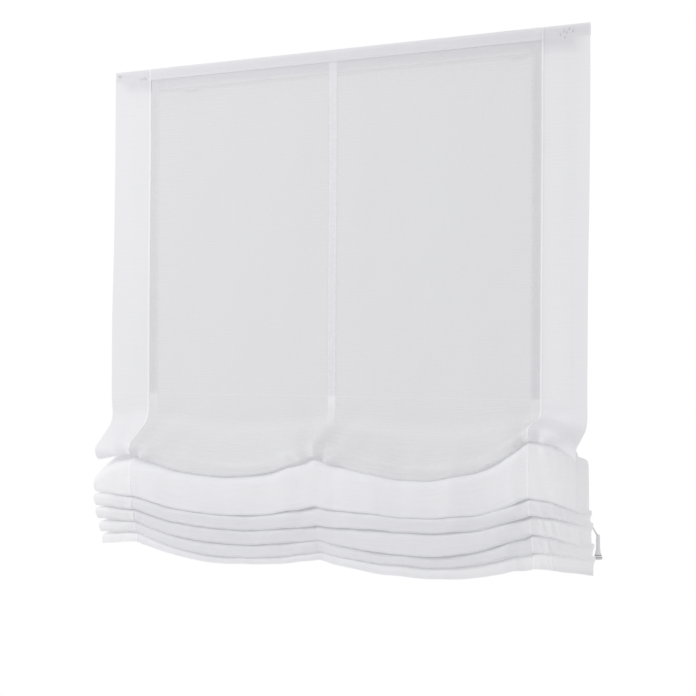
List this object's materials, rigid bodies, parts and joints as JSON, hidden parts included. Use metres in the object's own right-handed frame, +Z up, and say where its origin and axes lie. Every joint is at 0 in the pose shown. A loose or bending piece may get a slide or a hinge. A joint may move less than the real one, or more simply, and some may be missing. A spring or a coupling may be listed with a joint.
{
  "type": "roman blind",
  "caption": "Soft-fold roman blind in sheer white cloth with opaque side bands, hung from a slim headrail on wall brackets and raised by lift cords that end in a bell pull.",
  "frame": {"origin": "on the wall plane, midway between the two bracket screw holes", "axes": "+X along the headrail to the right seen from the room, +Y into the wall, +Z up"},
  "size_m": [1.0075, 0.1235, 0.955],
  "materials": {
    "sheer_cloth": "sheer slub voile",
    "band_cloth": "doubled voile hem",
    "tape": "woven tape",
    "cord": "braided cord",
    "rail_metal": "white powder coat",
    "steel": "bright zinc",
    "white_plastic": "moulded",
    "bell_plastic": "moulded, glossy"
  },
  "bodies": {
    "headrail_unit": {"headrail": "rail_metal", "left_end_cap": "white_plastic", "right_end_cap": "white_plastic", "hook_tape": "tape", "loop_tape": "tape", "left_bracket": "steel", "right_bracket": "steel", "left_cord_cradle": "white_plastic", "centre_cord_cradle": "white_plastic", "right_cord_cradle": "white_plastic", "pulley_pins": "steel", "cord_lock_body": "white_plastic", "pawl_pin": "steel", "header_band": "band_cloth", "sheer_panel": "sheer_cloth", "left_side_band": "band_cloth", "right_side_band": "band_cloth", "left_ring_tape": "tape", "centre_ring_tape": "tape", "right_ring_tape": "tape", "left_lift_cord": "cord", "centre_lift_cord": "cord", "right_lift_cord": "cord", "pull_strands": "cord"},
    "fold_stack": {"panel_folds": "sheer_cloth", "left_band_folds": "band_cloth", "right_band_folds": "band_cloth", "fold_rings": "white_plastic", "cord_orbs": "white_plastic", "hem_weight": "cord"},
    "bell_pull": {"cord_bell": "bell_plastic", "pull_knot": "cord"},
    "upper_ring_row": {"ring_row_1": "white_plastic"},
    "lower_ring_row": {"ring_row_2": "white_plastic"},
    "lock_pawl_body": {"lock_pawl": "white_plastic"},
    "left_lift_wheel": {"left_lift_pulley": "white_plastic"},
    "centre_lift_wheel": {"centre_lift_pulley": "white_plastic"},
    "right_lift_wheel": {"right_lift_pulley": "white_plastic"},
    "left_turn_wheel": {"left_turn_pulley": "white_plastic"},
    "centre_turn_wheel": {"centre_turn_pulley": "white_plastic"},
    "right_turn_wheel": {"right_turn_pulley": "white_plastic"}
  },
  "joints": [
    {"name": "lift", "type": "slide", "parent": "headrail_unit", "child": "fold_stack", "axis": [0, 0, 1], "range_m": [0, 0.5], "deforming": ["sheer_panel", "left_side_band", "right_side_band", "left_ring_tape", "centre_ring_tape", "right_ring_tape", "left_lift_cord", "centre_lift_cord", "right_lift_cord"]},
    {"name": "pull", "type": "slide", "parent": "headrail_unit", "child": "bell_pull", "axis": [0, 0, -1], "range_m": [0, 0.5], "deforming": ["pull_strands"]},
    {"name": "upper_ring_rise", "type": "slide", "parent": "headrail_unit", "child": "upper_ring_row", "axis": [0, 0, 1], "range_m": [0, 0.15]},
    {"name": "lower_ring_rise", "type": "slide", "parent": "headrail_unit", "child": "lower_ring_row", "axis": [0, 0, 1], "range_m": [0, 0.34]},
    {"name": "left_lift_wheel_spin", "type": "hinge", "parent": "headrail_unit", "child": "left_lift_wheel", "pos_m": [-0.408, -0.0406, 0.0016], "axis": [0, 1, 0], "continuous": true},
    {"name": "centre_lift_wheel_spin", "type": "hinge", "parent": "headrail_unit", "child": "centre_lift_wheel", "pos_m": [0.005, -0.0406, -0.0054], "axis": [0, 1, 0], "continuous": true},
    {"name": "right_lift_wheel_spin", "type": "hinge", "parent": "headrail_unit", "child": "right_lift_wheel", "pos_m": [0.418, -0.0406, -0.0124], "axis": [0, 1, 0], "continuous": true},
    {"name": "left_turn_wheel_spin", "type": "hinge", "parent": "headrail_unit", "child": "left_turn_wheel", "pos_m": [0.4681, -0.0406, 0.0016], "axis": [0, 1, 0], "continuous": true},
    {"name": "centre_turn_wheel_spin", "type": "hinge", "parent": "headrail_unit", "child": "centre_turn_wheel", "pos_m": [0.4586, -0.0406, -0.0054], "axis": [0, 1, 0], "continuous": true},
    {"name": "right_turn_wheel_spin", "type": "hinge", "parent": "headrail_unit", "child": "right_turn_wheel", "pos_m": [0.4491, -0.0406, -0.0124], "axis": [0, 1, 0], "continuous": true},
    {"name": "lock_pawl_swing", "type": "hinge", "parent": "headrail_unit", "child": "lock_pawl_body", "pos_m": [0.435, -0.0316, 0], "axis": [0, 0, 1], "range_deg": [0, 25]}
  ],
  "couplings": [
    {"joint": "pull", "follows": "lift", "ratio": 1},
    {"joint": "upper_ring_rise", "follows": "lift", "ratio": 0.2961},
    {"joint": "lower_ring_rise", "follows": "lift", "ratio": 0.6602},
    {"joint": "left_lift_wheel_spin", "follows": "lift", "rad_per_m": 200},
    {"joint": "centre_lift_wheel_spin", "follows": "lift", "rad_per_m": 200},
    {"joint": "right_lift_wheel_spin", "follows": "lift", "rad_per_m": 200},
    {"joint": "left_turn_wheel_spin", "follows": "lift", "rad_per_m": 200},
    {"joint": "centre_turn_wheel_spin", "follows": "lift", "rad_per_m": 200},
    {"joint": "right_turn_wheel_spin", "follows": "lift", "rad_per_m": 200}
  ]
}
